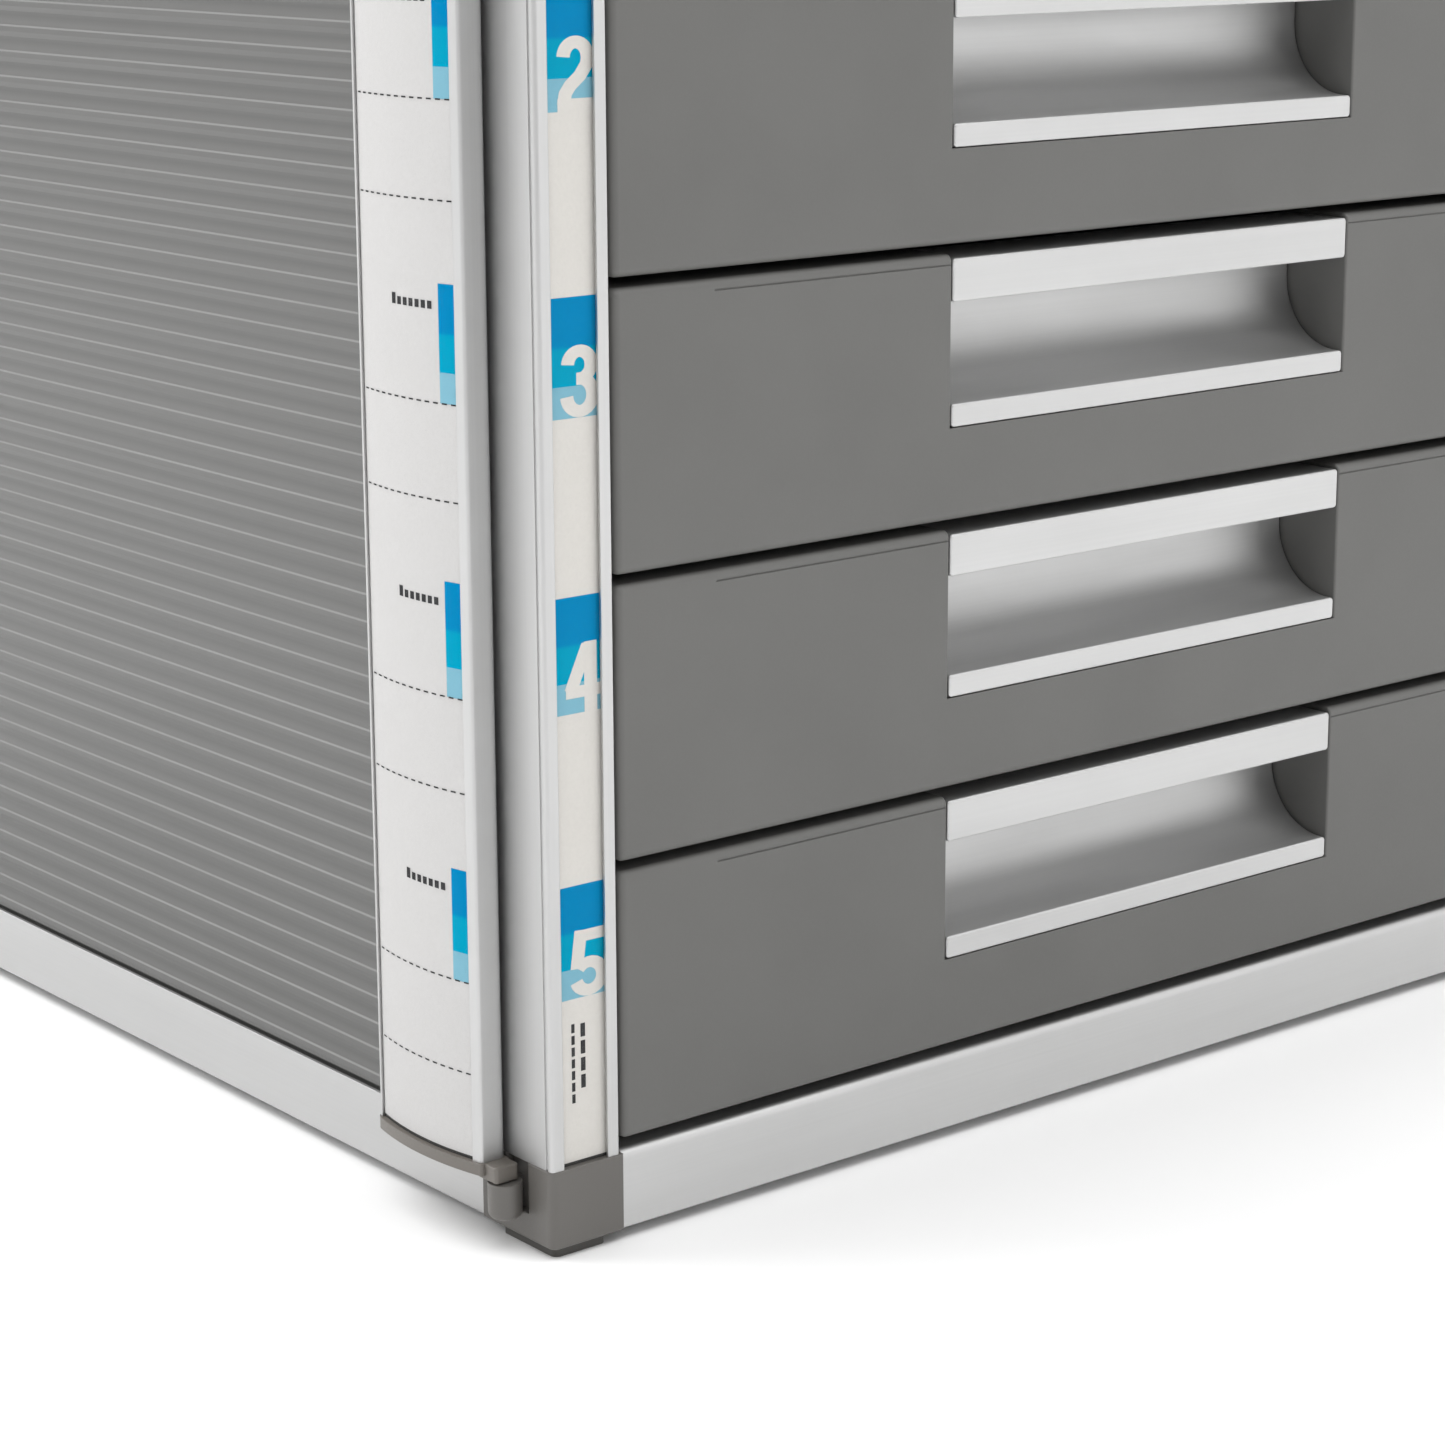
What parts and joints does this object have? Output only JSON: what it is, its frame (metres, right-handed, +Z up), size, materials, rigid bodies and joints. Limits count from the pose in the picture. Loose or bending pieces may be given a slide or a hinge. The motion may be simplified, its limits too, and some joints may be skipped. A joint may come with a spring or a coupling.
{
  "type": "desktop filing cabinet",
  "caption": "Desktop filing cabinet: aluminium frame, ribbed side sheets, stacked pull-out paper drawers with recessed handles, and an index-card wing hinged to the left front post.",
  "frame": {"origin": "on the floor plane under the centre of the outer box, which includes the folded index wing", "axes": "+Z up, +Y towards the back, drawers open towards -Y, the index wing is on the -X side"},
  "size_m": [0.3319, 0.3706, 0.3172],
  "materials": {
    "satin_aluminium": "satin anodised",
    "grey_fittings": "moulded satin",
    "front_plastic": "fine spark-eroded grain",
    "sheet_plastic": "extruded sheet",
    "liner_plastic": "moulded",
    "tray_plastic": "moulded satin",
    "foot_rubber": "matte",
    "screw_steel": "zinc plated",
    "card_paper": "printed card",
    "clear_plastic": "clear"
  },
  "bodies": {
    "carcass": {"post_front_left": "satin_aluminium", "post_rear_left": "satin_aluminium", "post_front_right": "satin_aluminium", "post_rear_right": "satin_aluminium", "rail_bottom_front": "satin_aluminium", "rail_bottom_rear": "satin_aluminium", "rail_bottom_left": "satin_aluminium", "rail_bottom_right": "satin_aluminium", "rail_top_front": "satin_aluminium", "rail_top_rear": "satin_aluminium", "rail_top_left": "satin_aluminium", "rail_top_right": "satin_aluminium", "corner_bottom_front_left": "grey_fittings", "corner_bottom_front_right": "grey_fittings", "corner_bottom_rear_left": "grey_fittings", "corner_bottom_rear_right": "grey_fittings", "corner_top_front_left": "grey_fittings", "corner_top_front_right": "grey_fittings", "corner_top_rear_left": "grey_fittings", "corner_top_rear_right": "grey_fittings", "foot_pads": "foot_rubber", "frame_screws": "screw_steel", "side_panel_left": "sheet_plastic", "side_panel_right": "sheet_plastic", "rear_panel": "sheet_plastic", "base_panel": "sheet_plastic", "top_panel": "sheet_plastic", "liner_left": "liner_plastic", "liner_right": "liner_plastic", "number_card": "card_paper", "number_cover": "clear_plastic", "hinge_pins": "screw_steel"},
    "drawer_1": {"drawer_tray_1": "tray_plastic", "drawer_front_1": "front_plastic", "handle_1": "satin_aluminium", "drawer_screws_1": "screw_steel"},
    "drawer_2": {"drawer_tray_2": "tray_plastic", "drawer_front_2": "front_plastic", "handle_2": "satin_aluminium", "drawer_screws_2": "screw_steel"},
    "drawer_3": {"drawer_tray_3": "tray_plastic", "drawer_front_3": "front_plastic", "handle_3": "satin_aluminium", "drawer_screws_3": "screw_steel"},
    "drawer_4": {"drawer_tray_4": "tray_plastic", "drawer_front_4": "front_plastic", "handle_4": "satin_aluminium", "drawer_screws_4": "screw_steel"},
    "drawer_5": {"drawer_tray_5": "tray_plastic", "drawer_front_5": "front_plastic", "handle_5": "satin_aluminium", "drawer_screws_5": "screw_steel"},
    "index_wing": {"wing_frame": "satin_aluminium", "wing_card": "card_paper", "wing_cover": "clear_plastic", "wing_cap_bottom": "grey_fittings", "wing_cap_top": "grey_fittings"}
  },
  "joints": [
    {"name": "drawer_1_slide", "type": "slide", "parent": "carcass", "child": "drawer_1", "axis": [0, -1, 0], "range_m": [0, 0.24]},
    {"name": "drawer_2_slide", "type": "slide", "parent": "carcass", "child": "drawer_2", "axis": [0, -1, 0], "range_m": [0, 0.24]},
    {"name": "drawer_3_slide", "type": "slide", "parent": "carcass", "child": "drawer_3", "axis": [0, -1, 0], "range_m": [0, 0.24]},
    {"name": "drawer_4_slide", "type": "slide", "parent": "carcass", "child": "drawer_4", "axis": [0, -1, 0], "range_m": [0, 0.24]},
    {"name": "drawer_5_slide", "type": "slide", "parent": "carcass", "child": "drawer_5", "axis": [0, -1, 0], "range_m": [0, 0.24]},
    {"name": "wing_hinge", "type": "hinge", "parent": "carcass", "child": "index_wing", "pos_m": [-0.15965, -0.1739, 0], "axis": [0, 0, 1], "range_deg": [0, 90]}
  ]
}
